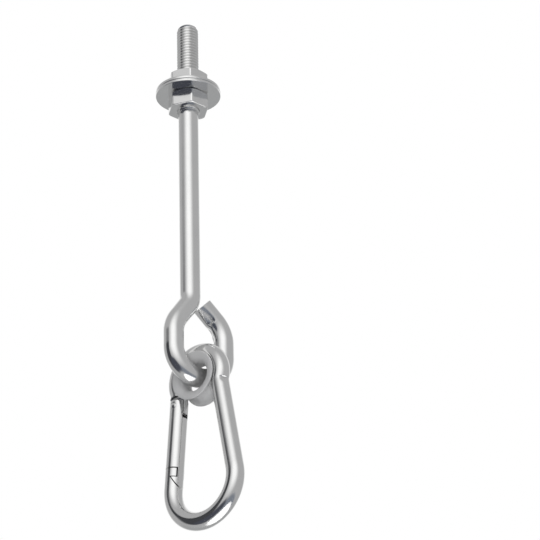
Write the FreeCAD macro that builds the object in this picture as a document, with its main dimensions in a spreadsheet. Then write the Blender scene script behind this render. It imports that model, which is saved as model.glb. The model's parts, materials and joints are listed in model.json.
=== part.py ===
import FreeCAD
import Part
import Sketcher
import math
import os
import re

# Hammock hook: an eye bolt with two nuts and two washers, a grooved bushing on the eye's wire,
# and a snap hook that hangs in the bushing's groove.
# Millimetres and degrees. Z is the bolt's axis, pointing up. The origin is on that axis, in the
# plane where the two washers meet. X is the axis that the bushing and the snap hook turn about,
# and Y points to the gate's side.

SIZES = {
    # thread and shank of the bolt
    "thread_diameter": 10.0,
    "stud_free": 27.0,
    "stud_chamfer": 2.2,
    "thread_below_nut": 1.1,
    "thread_runout": 1.0,
    "shank_diameter": 9.3,
    # open eye, from the shank down its left side, round the bottom and up to the cut tip
    "eye_drop": 146.7,
    "eye_turn": -19.0,
    "shoulder_radius": 10.0,
    "shoulder_angle": 34.5,
    "shoulder_run": 8.0,
    "eye_crown_radius": 14.4,
    "eye_side_run": 7.0,
    "eye_bottom_radius": 13.0,
    "eye_return_angle": 46.8,
    "eye_tip_run": 9.0,
    # nuts and washers
    "nut_across_flats": 17.0,
    "nut_height": 8.0,
    "nut_chamfer_angle": 30.0,
    "nut_face_inset": 0.5,
    "upper_nut_turn": 48.0,
    "lower_nut_turn": 50.5,
    "nut_thread_play": 0.05,
    "nut_countersink": 0.45,
    "washer_diameter": 30.0,
    "washer_play": 0.3,
    "washer_thickness": 1.5,
    "washer_edge": 0.25,
    # grooved bushing
    "bushing_diameter": 23.0,
    "bushing_play": 1.95,
    "bushing_wall": 1.35,
    "bushing_lip": 0.75,
    "bushing_mouth_radius": 4.0,
    "bushing_rim_radius": 0.35,
    "bushing_seat_drop": 0.2,
    "groove_play": 0.3,
    # snap hook wire, drawn in its own plane about the bushing's axis
    "wire_diameter": 8.3,
    "neck_radius": 5.4,
    "leg_splay": 7.5,
    "lower_bend_radius": 17.65,
    "lower_bend_drop": 52.0,
    "hang_lean": -2.3,
    # gate and the tongue that it turns on, measured from the pivot along the leg
    "pivot_drop": 12.0,
    "pivot_diameter": 3.0,
    "pivot_play": 0.05,
    "pivot_rise": 0.2,
    "pivot_chamfer": 0.5,
    "gate_end": 2.9,
    "gate_end_edge": 0.6,
    "gate_end_gap": 1.4,
    "seat_slope": 10.0,
    "tongue_thickness": 3.0,
    "tongue_play": 0.3,
    "tongue_foot": 3.5,
    "slot_room": 2.1,
    # claw where the gate meets the nose of the wire
    "nose_run": 9.6,
    "claw_slope": 57.5,
    "claw_root": 0.64,
    "claw_height": 3.9,
    "claw_wall": 0.55,
    "claw_gap": 0.4,
    # spring and plunger in the gate's bore
    "bore_diameter": 4.4,
    "bore_floor": 5.9,
    "plunger_play": 0.08,
    "plunger_length": 6.0,
    "plunger_chamfer": 0.4,
    "plunger_gap": 0.15,
    "spring_play": 0.25,
    "spring_wire": 0.6,
    "spring_turns": 9.0,
    "spring_gap": 0.05,
}

doc = FreeCAD.newDocument("hammock_hook")
sheet = doc.addObject("Spreadsheet::Sheet", "sizes")
for row, (alias, number) in enumerate(SIZES.items(), start=1):
    sheet.set(f"A{row}", alias)
    sheet.set(f"B{row}", str(number))
    sheet.setAlias(f"B{row}", alias)
doc.recompute()

X_AXIS = FreeCAD.Vector(1, 0, 0)
Y_AXIS = FreeCAD.Vector(0, 1, 0)
Z_AXIS = FreeCAD.Vector(0, 0, 1)
SAME_RADIUS = 0.001

# Formulas that several pieces share, in the sheet's names
THREAD_END = "(washer_thickness + nut_height + thread_below_nut)"
STUD_TOP = "(washer_thickness + nut_height + stud_free)"
NUT_HOLE = "(thread_diameter / 2 + nut_thread_play)"
EYE_LEFT = (
    "((shoulder_radius + eye_crown_radius) * (1 - cos(shoulder_angle))"
    " + shoulder_run * sin(shoulder_angle))"
)
EYE_RISE = (
    "((shoulder_radius + eye_crown_radius) * sin(shoulder_angle)"
    " + shoulder_run * cos(shoulder_angle) + eye_side_run + eye_bottom_radius)"
)
EYE_SHIFT = f"(eye_bottom_radius - {EYE_LEFT})"
AXIS_X = f"{EYE_SHIFT} * cos(eye_turn)"
AXIS_Y = f"{EYE_SHIFT} * sin(eye_turn)"
AXIS_Z = "(0 - eye_drop - bushing_seat_drop)"
BUSHING_BORE = "(shank_diameter / 2 + bushing_play)"
WIRE_RADIUS = "(wire_diameter / 2)"
GROOVE_RADIUS = f"({WIRE_RADIUS} + groove_play)"
BUSHING_END = f"({GROOVE_RADIUS} + bushing_lip)"
TOP_ARC = f"({BUSHING_BORE} + bushing_wall + {GROOVE_RADIUS})"
LEG_OFFSET = "(lower_bend_radius - lower_bend_drop * sin(leg_splay))"
NECK_REACH = f"({TOP_ARC} + neck_radius)"
NECK_ANGLE = f"(acos(({LEG_OFFSET} + neck_radius) / {NECK_REACH}) / (1 deg))"
NECK_END = f"({NECK_REACH} * sin({NECK_ANGLE}))"
LEG_END = "(lower_bend_drop * cos(leg_splay))"
PIVOT_Y = f"({LEG_OFFSET} * cos(leg_splay) + pivot_drop * sin(leg_splay))"
PIVOT_Z = f"({LEG_OFFSET} * sin(leg_splay) - pivot_drop * cos(leg_splay))"
PIVOT_HOLE = "(pivot_diameter / 2 + pivot_play)"
SLOT_DEPTH = "(tongue_foot + slot_room)"
CLAW_TOP = f"({LEG_END} - pivot_drop - nose_run)"
CLAW_FOOT = f"({CLAW_TOP} + claw_height)"
CLAW_DROP = f"({CLAW_FOOT} - claw_root * tan(claw_slope))"
CLAW_REACH = f"({WIRE_RADIUS} - claw_wall - claw_gap)"
BORE_BOTTOM = f"({CLAW_TOP} - claw_gap - bore_floor)"
PLUNGER_TOP = "(tongue_foot + plunger_gap)"
PLUNGER_FOOT = f"({PLUNGER_TOP} + plunger_length)"


def linked(formula):
    """A formula in the sheet's names, written for use in any object of the document."""

    def with_sheet(word):
        return f"sizes.{word[0]}" if word[0] in SIZES else word[0]

    return re.sub(r"[a-z_]+", with_sheet, formula)


def size(formula):
    """The present value of a formula in the sheet's names."""
    return float(sheet.evalExpression(formula))


def bind(thing, **formulas):
    """Tie properties of an object to formulas; two underscores in a name stand for a dot."""
    for name, formula in formulas.items():
        thing.setExpression(name.replace("__", "."), linked(formula))


def turn_about(thing, axis, formula):
    """Turn an object about an axis by a formula."""
    thing.Placement = FreeCAD.Placement(FreeCAD.Vector(), FreeCAD.Rotation(axis, 1))
    bind(thing, Placement__Rotation__Angle=formula)


# Solids drawn from primitives
def upright_cylinder(name, radius, low, high):
    """A cylinder about Z between two heights."""
    thing = doc.addObject("Part::Cylinder", name)
    bind(thing, Radius=radius, Height=f"{high} - ({low})", Placement__Base__z=low)
    return thing


def upright_cone(name, low_radius, high_radius, low, height):
    """A cone about Z that stands on a height."""
    thing = doc.addObject("Part::Cone", name)
    bind(thing, Radius1=low_radius, Radius2=high_radius, Height=height, Placement__Base__z=low)
    return thing


def cross_cylinder(name, radius, half_length):
    """A cylinder about X with its middle at the origin."""
    thing = doc.addObject("Part::Cylinder", name)
    thing.Placement = FreeCAD.Placement(FreeCAD.Vector(), FreeCAD.Rotation(Y_AXIS, 90))
    bind(thing, Radius=radius, Height=f"2 * {half_length}", Placement__Base__x=f"0 - {half_length}")
    return thing


def block(name, **spans):
    """A box between a low and a high formula along each of x, y and z."""
    thing = doc.addObject("Part::Box", name)
    for side, axis in (("Length", "x"), ("Width", "y"), ("Height", "z")):
        low, high = spans[axis]
        bind(thing, **{side: f"{high} - ({low})", f"Placement__Base__{axis}": low})
    return thing


def joined(kind, name, pieces):
    """A union or an intersection of several solids."""
    thing = doc.addObject(f"Part::{kind}", name)
    thing.Shapes = pieces
    return thing


def less(name, base, tool):
    """One solid with another cut out of it."""
    thing = doc.addObject("Part::Cut", name)
    thing.Base = base
    thing.Tool = tool
    return thing


# Sketches and the features made from them
def new_body(name):
    return doc.addObject("PartDesign::Body", name)


def new_sketch(body, name, role):
    """A sketch on one of the body's own planes."""
    sketch = body.newObject("Sketcher::SketchObject", name)
    plane = next(part for part in body.Origin.OriginFeatures if part.Role == role)
    sketch.AttachmentSupport = [(plane, "")]
    sketch.MapMode = "FlatFace"
    doc.recompute()
    return sketch


def dimension(sketch, kind, formula, *where):
    """Add a dimension to a sketch and tie it to a formula."""
    number = size(formula)
    unit = ""
    if kind == "Angle":
        number = math.radians(number)
        unit = " * 1 deg"
    index = sketch.addConstraint(Sketcher.Constraint(kind, *where, number))
    sketch.setExpression(f"Constraints[{index}]", f"({linked(formula)}){unit}")


def place_point(sketch, edge, end, across, up):
    """Hold one point of an edge at a place given by two formulas."""
    for kind, formula, axis in (("DistanceX", across, -2), ("DistanceY", up, -1)):
        if formula == "0":
            sketch.addConstraint(Sketcher.Constraint("PointOnObject", edge, end, axis))
        else:
            dimension(sketch, kind, formula, -1, 1, edge, end)


def straight_outline(sketch, corners):
    """A closed outline of straight edges through corners given as pairs of formulas."""
    points = [FreeCAD.Vector(size(across), size(up), 0) for across, up in corners]
    count = len(points)
    for i in range(count):
        sketch.addGeometry(Part.LineSegment(points[i], points[(i + 1) % count]))
    for i in range(count):
        sketch.addConstraint(Sketcher.Constraint("Coincident", i, 2, (i + 1) % count, 1))
    for i, (across, up) in enumerate(corners):
        place_point(sketch, i, 1, across, up)
    doc.recompute()


def round_outline(sketch, radius, across="0", up="0"):
    """A circle with its centre at a place given by two formulas."""
    centre = FreeCAD.Vector(size(across), size(up), 0)
    edge = sketch.addGeometry(Part.Circle(centre, Z_AXIS, size(radius)))
    place_point(sketch, edge, 3, across, up)
    dimension(sketch, "Radius", radius, edge)
    doc.recompute()


def bent_path(sketch, start, heading, steps):
    """An open chain of tangent runs and bends.

    start is a pair of formulas and heading an angle. A step is ("run", length) or
    ("left" or "right", radius, angle), where left turns against the clock.
    """
    point = FreeCAD.Vector(size(start[0]), size(start[1]), 0)
    angle = math.radians(size(heading))
    before = None
    for kind, *formulas in steps:
        forward = FreeCAD.Vector(math.cos(angle), math.sin(angle), 0)
        if kind == "run":
            ahead = point + forward * size(formulas[0])
            edge = sketch.addGeometry(Part.LineSegment(point, ahead))
            first, last = 1, 2
            dimension(sketch, "Distance", formulas[0], edge)
        else:
            side = 1 if kind == "left" else -1
            radius = size(formulas[0])
            sweep = math.radians(size(formulas[1]))
            centre = point + FreeCAD.Vector(-forward.y, forward.x, 0) * side * radius
            begin = math.atan2(point.y - centre.y, point.x - centre.x)
            leave = begin + side * sweep
            circle = Part.Circle(centre, Z_AXIS, radius)
            edge = sketch.addGeometry(Part.ArcOfCircle(circle, *sorted((begin, leave))))
            first, last = (1, 2) if side > 0 else (2, 1)
            angle += side * sweep
            ahead = centre + FreeCAD.Vector(math.cos(leave), math.sin(leave), 0) * radius
            dimension(sketch, "Radius", formulas[0], edge)
            dimension(sketch, "Angle", formulas[1], edge)
        if before is None:
            place_point(sketch, edge, first, *start)
            dimension(sketch, "Angle", heading, edge)
        else:
            sketch.addConstraint(Sketcher.Constraint("Tangent", *before, edge, first))
        before = (edge, last)
        point = ahead
    doc.recompute()


def wire_along(body, name, path, radius):
    """Round wire swept along a path from its first edge."""
    section = body.newObject("Sketcher::SketchObject", f"{name}_section")
    section.AttachmentSupport = [(path, "Edge1")]
    section.MapMode = "NormalToEdge"
    round_outline(section, radius)
    wire = body.newObject("PartDesign::AdditivePipe", name)
    wire.Profile = section
    wire.Spine = path
    doc.recompute()


def turned(body, kind, name, sketch, axis):
    """An outline turned once about an axis of its sketch, to add or to cut."""
    feature = body.newObject(f"PartDesign::{kind}", name)
    feature.Profile = sketch
    feature.ReferenceAxis = (sketch, [axis])
    feature.Angle = 360.0
    doc.recompute()


def rounded(body, name, radius, edge_radius):
    """Round the circular edges of the body that have a given radius."""
    base = body.Tip
    edges = []
    for number, edge in enumerate(base.Shape.Edges, start=1):
        if isinstance(edge.Curve, Part.Circle) and abs(edge.Curve.Radius - size(edge_radius)) < SAME_RADIUS:
            edges.append(f"Edge{number}")
    feature = body.newObject("PartDesign::Fillet", name)
    feature.Base = (base, edges)
    bind(feature, Radius=radius)
    doc.recompute()


def cross_prism(name, corners):
    """A straight-edged outline in the plane of Y and Z, thick enough to cut through the wire."""
    body = new_body(name)
    sketch = new_sketch(body, f"{name}_outline", "YZ_Plane")
    straight_outline(sketch, corners)
    pad = body.newObject("PartDesign::Pad", f"{name}_pad")
    pad.Profile = sketch
    pad.SideType = "Symmetric"
    bind(pad, Length="2 * wire_diameter")
    doc.recompute()
    return body


# Eye bolt: the stud is turned, the shank and the eye are one bent rod
def make_eye_bolt():
    body = new_body("eye_bolt")
    path = new_sketch(body, "eye_path", "XZ_Plane")
    bent_path(
        path,
        ("0", f"0 - {THREAD_END}"),
        "-90",
        [
            ("run", f"eye_drop - {THREAD_END} - {EYE_RISE}"),
            ("right", "shoulder_radius", "shoulder_angle"),
            ("run", "shoulder_run"),
            ("left", "eye_crown_radius", "shoulder_angle"),
            ("run", "eye_side_run"),
            ("left", "eye_bottom_radius", "180"),
            ("run", "eye_side_run"),
            ("left", "eye_crown_radius", "eye_return_angle"),
            ("run", "eye_tip_run"),
        ],
    )
    wire_along(body, "eye_wire", path, "shank_diameter / 2")
    outline = new_sketch(body, "stud_outline", "XZ_Plane")
    straight_outline(
        outline,
        [
            ("0", f"0 - {THREAD_END}"),
            ("shank_diameter / 2", f"0 - {THREAD_END}"),
            ("thread_diameter / 2", f"thread_runout - {THREAD_END}"),
            ("thread_diameter / 2", f"{STUD_TOP} - stud_chamfer"),
            ("thread_diameter / 2 - stud_chamfer", STUD_TOP),
            ("0", STUD_TOP),
        ],
    )
    turned(body, "Revolution", "stud", outline, "V_Axis")
    turn_about(body, Z_AXIS, "eye_turn")
    return body


# Nuts: a hexagon with both ends chamfered, bored and countersunk
def make_nut(name, seat, turn):
    prism = doc.addObject("Part::Prism", f"{name}_prism")
    prism.Polygon = 6
    bind(prism, Circumradius="nut_across_flats / 2 / cos(30)", Height="nut_height")
    face = "nut_across_flats / 2 - nut_face_inset"
    wide = f"{face} + nut_height / tan(nut_chamfer_angle)"
    top = upright_cone(f"{name}_top", wide, face, "0", "nut_height")
    foot = upright_cone(f"{name}_foot", face, wide, "0", "nut_height")
    blank = joined("MultiCommon", f"{name}_blank", [prism, top, foot])
    mouth = f"{NUT_HOLE} + nut_countersink"
    bore = upright_cylinder(f"{name}_bore", NUT_HOLE, "0", "nut_height")
    low = upright_cone(f"{name}_low_mouth", mouth, NUT_HOLE, "0", "nut_countersink")
    high_seat = "nut_height - nut_countersink"
    high = upright_cone(f"{name}_high_mouth", NUT_HOLE, mouth, high_seat, "nut_countersink")
    nut = less(name, blank, joined("MultiFuse", f"{name}_hole", [bore, low, high]))
    turn_about(nut, Z_AXIS, turn)
    bind(nut, Placement__Base__z=seat)
    return nut


# Washers: a punched ring with its outer edges broken
def make_washer(name, seat):
    body = new_body(name)
    outline = new_sketch(body, f"{name}_outline", "XZ_Plane")
    hole = "thread_diameter / 2 + washer_play"
    rim = "washer_diameter / 2"
    straight_outline(
        outline,
        [
            (hole, "0"),
            (f"{rim} - washer_edge", "0"),
            (rim, "washer_edge"),
            (rim, "washer_thickness - washer_edge"),
            (f"{rim} - washer_edge", "washer_thickness"),
            (hole, "washer_thickness"),
        ],
    )
    turned(body, "Revolution", f"{name}_ring", outline, "V_Axis")
    bind(body, Placement__Base__z=seat)
    return body


# Bushing: a moulded ring with a round groove for the snap hook's wire and a bell-mouthed bore
def make_bushing():
    body = new_body("nylon_bushing")
    outline = new_sketch(body, "bushing_outline", "XZ_Plane")
    rim = "bushing_diameter / 2"
    straight_outline(
        outline,
        [
            (f"0 - {BUSHING_END}", BUSHING_BORE),
            (BUSHING_END, BUSHING_BORE),
            (BUSHING_END, rim),
            (f"0 - {BUSHING_END}", rim),
        ],
    )
    turned(body, "Revolution", "bushing_ring", outline, "H_Axis")
    rounded(body, "bushing_mouths", "bushing_mouth_radius", BUSHING_BORE)
    rounded(body, "bushing_rims", "bushing_rim_radius", rim)
    section = new_sketch(body, "groove_section", "XZ_Plane")
    round_outline(section, GROOVE_RADIUS, "0", TOP_ARC)
    turned(body, "Groove", "bushing_groove", section, "H_Axis")
    bind(body, Placement__Base__x=AXIS_X, Placement__Base__y=AXIS_Y, Placement__Base__z=AXIS_Z)
    return body


# Snap hook wire: from the tongue's foot over the top, down the back and round the bottom to the claw
def make_hook_wire():
    body = new_body("hook_wire")
    path = new_sketch(body, "hook_path", "YZ_Plane")
    foot_y = f"{PIVOT_Y} + tongue_foot * sin(leg_splay)"
    foot_z = f"{PIVOT_Z} - tongue_foot * cos(leg_splay)"
    bent_path(
        path,
        (foot_y, foot_z),
        "90 + leg_splay",
        [
            ("run", f"pivot_drop + tongue_foot - {NECK_END}"),
            ("right", "neck_radius", NECK_ANGLE),
            ("left", TOP_ARC, f"180 + 2 * ({NECK_ANGLE} - leg_splay)"),
            ("right", "neck_radius", NECK_ANGLE),
            ("run", f"{LEG_END} - {NECK_END}"),
            ("left", "lower_bend_radius", "180 + 2 * leg_splay"),
            ("run", "nose_run"),
        ],
    )
    wire_along(body, "hook_bar", path, WIRE_RADIUS)
    return body


# What is milled off the wire, drawn about the gate's pivot with the leg along Z:
# both cheeks of the tongue under a sloped shoulder, its rivet hole, and the notch that leaves the claw's head
def make_hook_cuts():
    wide = "wire_diameter"
    cheek = "tongue_thickness / 2"
    foot = f"0 - tongue_foot - {wide}"
    seat = "gate_end + gate_end_gap"
    fall = f"{wide} * tan(seat_slope)"
    side = cross_prism(
        "cheek_side",
        [
            (f"0 - {wide}", foot),
            (wide, foot),
            (wide, f"{seat} - {fall}"),
            (f"0 - {wide}", f"{seat} + {fall}"),
        ],
    )
    tongue = block(
        "tongue_slab",
        x=(f"0 - {cheek}", cheek),
        y=(f"0 - 2 * {wide}", f"2 * {wide}"),
        z=(f"{foot} - {wide}", f"{seat} + {fall} + {wide}"),
    )
    cheeks = less("tongue_cheeks", side, tongue)
    hole = cross_cylinder("tongue_hole", PIVOT_HOLE, wide)
    above = f"{WIRE_RADIUS} - {CLAW_TOP}"
    notch = cross_prism(
        "claw_notch",
        [
            (f"0 - {CLAW_REACH}", above),
            (f"0 - {CLAW_REACH}", f"0 - {CLAW_FOOT}"),
            ("0 - claw_root", f"0 - {CLAW_FOOT}"),
            (f"0 - {wide}", f"0 - {CLAW_DROP} - {wide} * tan(claw_slope)"),
            (f"0 - {wide}", above),
        ],
    )
    cuts = joined("MultiFuse", "hook_cuts", [cheeks, hole, notch])
    turn_about(cuts, X_AXIS, "leg_splay")
    bind(cuts, Placement__Base__y=PIVOT_Y, Placement__Base__z=PIVOT_Z)
    return cuts


def make_carabiner_body():
    hook = less("carabiner_body", make_hook_wire(), make_hook_cuts())
    turn_about(hook, X_AXIS, "hang_lean")
    bind(hook, Placement__Base__x=AXIS_X, Placement__Base__y=AXIS_Y, Placement__Base__z=AXIS_Z)
    return hook


def hang_at_pivot(piece):
    """Hang a piece that is drawn about the gate's pivot, with the leg along Z."""
    turn_about(piece, X_AXIS, "leg_splay + hang_lean")
    across = f"{PIVOT_Y} * cos(hang_lean) - {PIVOT_Z} * sin(hang_lean)"
    up = f"{PIVOT_Y} * sin(hang_lean) + {PIVOT_Z} * cos(hang_lean)"
    bind(piece, Placement__Base__x=AXIS_X)
    bind(piece, Placement__Base__y=f"{AXIS_Y} + {across}", Placement__Base__z=f"{AXIS_Z} + {up}")
    return piece


# Gate: a round bar with a flat forked end, a spring bore and a tooth that fits the claw
def make_gate():
    wide = "wire_diameter"
    tip = f"0 - {CLAW_DROP} - {WIRE_RADIUS} * tan(claw_slope)"
    bar_top = "gate_end - gate_end_edge"
    bar = upright_cylinder("gate_bar", WIRE_RADIUS, tip, bar_top)
    edge = upright_cone("gate_edge", WIRE_RADIUS, f"{WIRE_RADIUS} - gate_end_edge", bar_top, "gate_end_edge")
    blank = joined("MultiFuse", "gate_blank", [bar, edge])
    half_slot = "(tongue_thickness / 2 + tongue_play)"
    slot = block(
        "gate_slot",
        x=(f"0 - {half_slot}", half_slot),
        y=(f"0 - {wide}", wide),
        z=(f"0 - {SLOT_DEPTH}", wide),
    )
    bore = upright_cylinder("gate_bore", "bore_diameter / 2", f"0 - {BORE_BOTTOM}", wide)
    hole = cross_cylinder("gate_hole", PIVOT_HOLE, wide)
    head_top = f"claw_gap - {CLAW_TOP}"
    head_side = f"0 - {CLAW_REACH} - claw_gap"
    tooth_top = f"0 - {CLAW_FOOT} - claw_gap"
    lift = "claw_gap / cos(claw_slope)"
    tooth_tip = f"({CLAW_DROP} - {CLAW_FOOT} - claw_gap - {lift}) / tan(claw_slope)"
    bottom = f"{lift} - {CLAW_DROP} - {wide} * tan(claw_slope)"
    recess = cross_prism(
        "claw_recess",
        [
            (wide, head_top),
            (head_side, head_top),
            (head_side, tooth_top),
            (tooth_tip, tooth_top),
            (f"0 - {wide}", bottom),
            (wide, bottom),
        ],
    )
    gate = less("carabiner_gate", blank, joined("MultiFuse", "gate_cuts", [slot, bore, hole, recess]))
    return hang_at_pivot(gate)


# Rivet: a pin with chamfered ends that stand a little proud of the gate
def make_pivot_pin():
    body = new_body("gate_pivot_pin")
    outline = new_sketch(body, "pin_outline", "XZ_Plane")
    half = f"({WIRE_RADIUS} + pivot_rise)"
    radius = "pivot_diameter / 2"
    straight_outline(
        outline,
        [
            (f"0 - {half}", "0"),
            (half, "0"),
            (half, f"{radius} - pivot_chamfer"),
            (f"{half} - pivot_chamfer", radius),
            (f"pivot_chamfer - {half}", radius),
            (f"0 - {half}", f"{radius} - pivot_chamfer"),
        ],
    )
    turned(body, "Revolution", "pin_bar", outline, "H_Axis")
    return hang_at_pivot(body)


# Plunger: a short pin with a broken upper edge, pressed on the tongue's foot
def make_plunger():
    body = new_body("gate_plunger")
    outline = new_sketch(body, "plunger_outline", "XZ_Plane")
    radius = "(bore_diameter / 2 - plunger_play)"
    straight_outline(
        outline,
        [
            ("0", f"0 - {PLUNGER_FOOT}"),
            (radius, f"0 - {PLUNGER_FOOT}"),
            (radius, f"0 - {PLUNGER_TOP} - plunger_chamfer"),
            (f"{radius} - plunger_chamfer", f"0 - {PLUNGER_TOP}"),
            ("0", f"0 - {PLUNGER_TOP}"),
        ],
    )
    turned(body, "Revolution", "plunger_bar", outline, "V_Axis")
    return hang_at_pivot(body)


# Spring: one coil between the plunger's foot and the floor of the bore
def make_spring():
    body = new_body("gate_spring")
    section = new_sketch(body, "spring_section", "XZ_Plane")
    coil_radius = "bore_diameter / 2 - spring_play - spring_wire / 2"
    lowest = f"spring_gap + spring_wire / 2 - {BORE_BOTTOM}"
    round_outline(section, "spring_wire / 2", coil_radius, lowest)
    coil = body.newObject("PartDesign::AdditiveHelix", "spring_coil")
    coil.Profile = section
    coil.ReferenceAxis = (section, ["V_Axis"])
    coil.Mode = "height-turns-angle"
    room = f"{BORE_BOTTOM} - {PLUNGER_FOOT} - spring_wire - 2 * spring_gap"
    bind(coil, Height=room, Turns="spring_turns")
    doc.recompute()
    return hang_at_pivot(body)


PIECES = [
    make_eye_bolt(),
    make_nut("upper_nut", "washer_thickness", "upper_nut_turn"),
    make_washer("upper_washer", "0"),
    make_washer("lower_washer", "0 - washer_thickness"),
    make_nut("lower_nut", "0 - washer_thickness - nut_height", "lower_nut_turn"),
    make_bushing(),
    make_carabiner_body(),
    make_gate(),
    make_pivot_pin(),
    make_plunger(),
    make_spring(),
]
doc.recompute()

# Every object has to be sound before anything is written
for thing in doc.Objects:
    if "Invalid" in thing.State or "Error" in thing.State:
        raise RuntimeError(f"{thing.Label} did not build: {thing.State}")
os.makedirs("parts", exist_ok=True)
for piece in PIECES:
    shape = piece.Shape
    if shape.isNull() or not shape.isValid() or len(shape.Solids) != 1:
        raise RuntimeError(f"{piece.Label} is not one sound solid")
    shape.exportStep(f"parts/{piece.Label}.step")
    box = shape.optimalBoundingBox()
    print(f"{piece.Label}: {shape.Volume:.1f} mm3, X {box.XMin:.2f} to {box.XMax:.2f},", end=" ")
    print(f"Y {box.YMin:.2f} to {box.YMax:.2f}, Z {box.ZMin:.2f} to {box.ZMax:.2f}")
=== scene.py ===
# %% [markdown]
# # Hammock hook
# A zinc-plated eye bolt carries a snap hook on a grey nylon bushing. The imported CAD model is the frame, and
# every piece below takes its place from it. A CAD node could stay and get a better material. Most of them
# are replaced here, because bright metal shows every facet: the bent wires, the thread and the turned edges
# are built again from the same sizes, finer and with the marks of their making.

import json
import math

import bmesh
import bpy
from mathutils import Matrix, Vector


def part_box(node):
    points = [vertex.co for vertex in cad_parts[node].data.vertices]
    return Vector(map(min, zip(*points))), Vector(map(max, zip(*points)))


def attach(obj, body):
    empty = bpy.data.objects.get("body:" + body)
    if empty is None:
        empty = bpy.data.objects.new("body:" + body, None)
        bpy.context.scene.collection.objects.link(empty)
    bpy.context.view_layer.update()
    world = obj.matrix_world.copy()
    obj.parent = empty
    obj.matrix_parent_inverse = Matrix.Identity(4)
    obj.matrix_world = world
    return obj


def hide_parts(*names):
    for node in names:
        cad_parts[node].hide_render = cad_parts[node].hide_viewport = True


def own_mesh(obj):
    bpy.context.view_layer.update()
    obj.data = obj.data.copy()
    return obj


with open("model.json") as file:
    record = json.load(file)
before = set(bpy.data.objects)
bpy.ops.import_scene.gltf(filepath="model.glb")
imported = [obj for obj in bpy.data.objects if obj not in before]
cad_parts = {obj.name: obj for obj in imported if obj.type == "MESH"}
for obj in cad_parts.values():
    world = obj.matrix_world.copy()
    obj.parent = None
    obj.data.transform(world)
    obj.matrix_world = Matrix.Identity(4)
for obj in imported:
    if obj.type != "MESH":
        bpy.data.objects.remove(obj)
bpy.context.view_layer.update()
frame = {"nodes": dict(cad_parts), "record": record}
NODES = frame["nodes"]
JOINTS = {joint["name"]: joint for joint in frame["record"]["behaviour"]["joints"]}

# %% [markdown]
# ## Units and landmarks
# Hardware is drawn in millimetres, so the sizes here are too, and each mesh is scaled to metres when it is
# made. Two landmarks, the bushing's axis and the gate's pivot, could be typed in. They are read from the
# packed joints instead, so that they stay right when the CAD model changes.

# %% Units and landmarks
MM = 0.001
AXIS = Vector(JOINTS["carabiner_swing"]["pos_m"]) / MM
PIVOT = Vector(JOINTS["gate_swing"]["pos_m"]) / MM
print("bushing axis", [round(value, 2) for value in AXIS], "mm")
print("gate pivot", [round(value, 2) for value in PIVOT], "mm")

# %% [markdown]
# ## Material helpers
# Plated steel and moulded nylon are never one even colour: shade and polish drift a little from place to
# place over a fine grain. An image could hold that. Noise nodes do it without a file, and because they read
# the piece's own space, the pattern stays put when the piece moves.


# %% Material helpers
def new_material(name):
    """An empty node material: its node tree, its shader and a helper that adds and sets a node."""
    material = bpy.data.materials.new(name)
    material.use_nodes = True
    tree = material.node_tree
    shader = tree.nodes["Principled BSDF"]

    def add(kind, **values):
        node = tree.nodes.new(kind)
        for key, value in values.items():
            if key in node.inputs:
                node.inputs[key].default_value = value
            else:
                setattr(node, key, value)
        return node

    return material, tree, shader, add


def grained(material, tree, shader, add, rough, grain_size, grain_height, patch_size):
    """Let the roughness wander between two values and raise a fine grain, both in the piece's own space."""
    place = add("ShaderNodeTexCoord")
    patches = add("ShaderNodeTexNoise", Scale=1 / patch_size, Detail=3.0)
    limits = {"From Min": 0.3, "From Max": 0.7, "To Min": rough[0], "To Max": rough[1]}
    spread = add("ShaderNodeMapRange", **limits)
    grain = add("ShaderNodeTexNoise", Scale=1 / grain_size, Detail=2.0)
    bump = add("ShaderNodeBump", Strength=0.25, Distance=grain_height)
    tree.links.new(place.outputs["Object"], patches.inputs["Vector"])
    tree.links.new(place.outputs["Object"], grain.inputs["Vector"])
    tree.links.new(patches.outputs["Fac"], spread.inputs["Value"])
    tree.links.new(spread.outputs["Result"], shader.inputs["Roughness"])
    tree.links.new(grain.outputs["Fac"], bump.inputs["Height"])
    tree.links.new(bump.outputs["Normal"], shader.inputs["Normal"])
    return material


def tinted(tree, shader, add, dark, light, patch_size):
    """Let the colour wander between two near shades, in the piece's own space."""
    place = add("ShaderNodeTexCoord")
    clouds = add("ShaderNodeTexNoise", Scale=1 / patch_size, Detail=4.0)
    ramp = add("ShaderNodeValToRGB")
    ramp.color_ramp.elements[0].color = (*dark, 1.0)
    ramp.color_ramp.elements[1].color = (*light, 1.0)
    shader.inputs["Base Color"].default_value = (*light, 1.0)
    tree.links.new(place.outputs["Object"], clouds.inputs["Vector"])
    tree.links.new(clouds.outputs["Fac"], ramp.inputs["Fac"])
    tree.links.new(ramp.outputs["Color"], shader.inputs["Base Color"])


print("materials in the packed frame:", len(bpy.data.materials))

# %% [markdown]
# ## Zinc, steel and nylon
# Bolt, nuts, washers and hook are bright zinc on steel, the spring and its plunger are bare steel, and the
# bushing is grey nylon. Each finish could be a shader group with sliders. Two short functions are easier to
# read: a metal gets its look from what it mirrors, and nylon from a soft, matte grain.

# %% Zinc, steel and nylon
# In metres: clouds of colour, patches of polish and the grain
METAL_CLOUDS = 0.008
METAL_PATCHES = 0.006
METAL_GRAIN = 0.0006
NYLON_CLOUDS = 0.0045
NYLON_PATCHES = 0.004
NYLON_GRAIN = 0.0004
NYLON_GRAIN_HEIGHT = 0.00004


def metal(name, dark, light, rough, grain_height):
    material, tree, shader, add = new_material(name)
    shader.inputs["Metallic"].default_value = 1.0
    tinted(tree, shader, add, dark, light, METAL_CLOUDS)
    return grained(material, tree, shader, add, rough, METAL_GRAIN, grain_height, METAL_PATCHES)


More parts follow.
